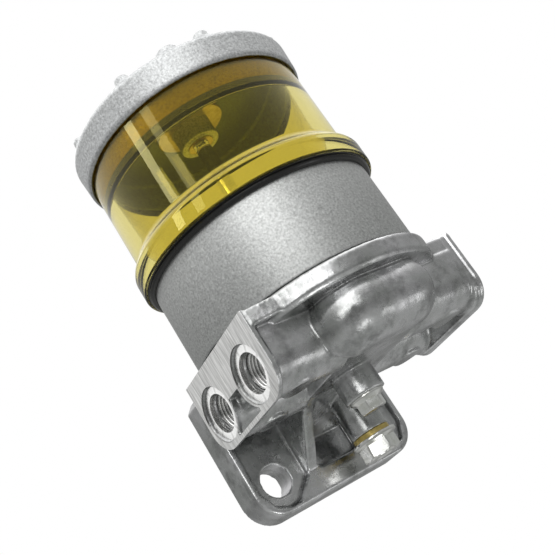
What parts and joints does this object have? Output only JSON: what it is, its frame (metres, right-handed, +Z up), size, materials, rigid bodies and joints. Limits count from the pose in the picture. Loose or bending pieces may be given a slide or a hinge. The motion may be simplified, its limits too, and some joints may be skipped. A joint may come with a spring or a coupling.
{
  "type": "fuel water separator",
  "caption": "Diesel fuel water separator: die-cast head with bracket plate and threaded side ports, silver filter canister, amber see-through bowl and ribbed base cap with drain.",
  "frame": {"origin": "midpoint between the two mounting bolt holes, on the back face of the bracket plate", "axes": "+Z up along the canister axis with the bleed screws on top, +X out of the threaded side ports, +Y into the wall that the bracket is bolted to"},
  "size_m": [0.0974, 0.0958, 0.1527],
  "materials": {
    "die_cast": "as cast, semi-bright with tumbling marks",
    "canister_silver": "satin silver coat",
    "blasted_cap": "grit blasted",
    "bright_zinc": "bright zinc plated",
    "steel": "plain bright",
    "brass": "plain",
    "black_rubber": "glossy nitrile rubber",
    "amber_clear": "clear amber plastic, glossy",
    "filter_paper": "pleated resin-treated paper",
    "black_plastic": "moulded"
  },
  "bodies": {
    "housing": {"head_casting": "die_cast", "head_seal": "black_rubber", "canister": "canister_silver", "grommet": "black_rubber", "element_top": "steel", "element_bottom": "steel", "lower_grommet": "black_rubber", "filter_pleats": "filter_paper", "core_tube": "steel", "bowl_gasket": "black_rubber", "bowl": "amber_clear", "bowl_seal": "black_rubber", "base_cap": "blasted_cap", "cap_insert": "brass", "pillar_washer": "brass", "deflector": "black_plastic"},
    "bolt_seal_body": {"bolt_seal": "black_rubber"},
    "bolt_body": {"centre_bolt": "bright_zinc"},
    "bleed_washer_body": {"brass_washer": "brass"},
    "bleed_plug_body": {"bleed_plug": "bright_zinc"},
    "drain_washer_body": {"drain_washer": "black_rubber"},
    "drain_plug_body": {"drain_plug": "bright_zinc"}
  },
  "joints": [
    {"name": "bolt_lift", "type": "slide", "parent": "housing", "child": "bolt_seal_body", "axis": [0, 0, 1], "range_m": [0, 0.01]},
    {"name": "bolt_turn", "type": "hinge", "parent": "bolt_seal_body", "child": "bolt_body", "pos_m": [0, -0.0485, -0.005], "axis": [0, 0, 1], "range_deg": [0, 3600]},
    {"name": "bleed_lift", "type": "slide", "parent": "housing", "child": "bleed_washer_body", "axis": [0, 0, 1], "range_m": [0, 0.01]},
    {"name": "bleed_turn", "type": "hinge", "parent": "bleed_washer_body", "child": "bleed_plug_body", "pos_m": [-0.0092, -0.0265, 0.005], "axis": [0, 0, 1], "range_deg": [0, 2880]},
    {"name": "drain_drop", "type": "slide", "parent": "housing", "child": "drain_washer_body", "axis": [0, 0, -1], "range_m": [0, 0.0075]},
    {"name": "drain_turn", "type": "hinge", "parent": "drain_washer_body", "child": "drain_plug_body", "pos_m": [0.01226, -0.07256, -0.136], "axis": [0, 0, -1], "range_deg": [0, 2160]}
  ],
  "couplings": [
    {"joint": "bolt_turn", "follows": "bolt_lift", "rad_per_m": 6283.2},
    {"joint": "bleed_turn", "follows": "bleed_lift", "rad_per_m": 5026.5},
    {"joint": "drain_turn", "follows": "drain_drop", "rad_per_m": 5026.5}
  ]
}
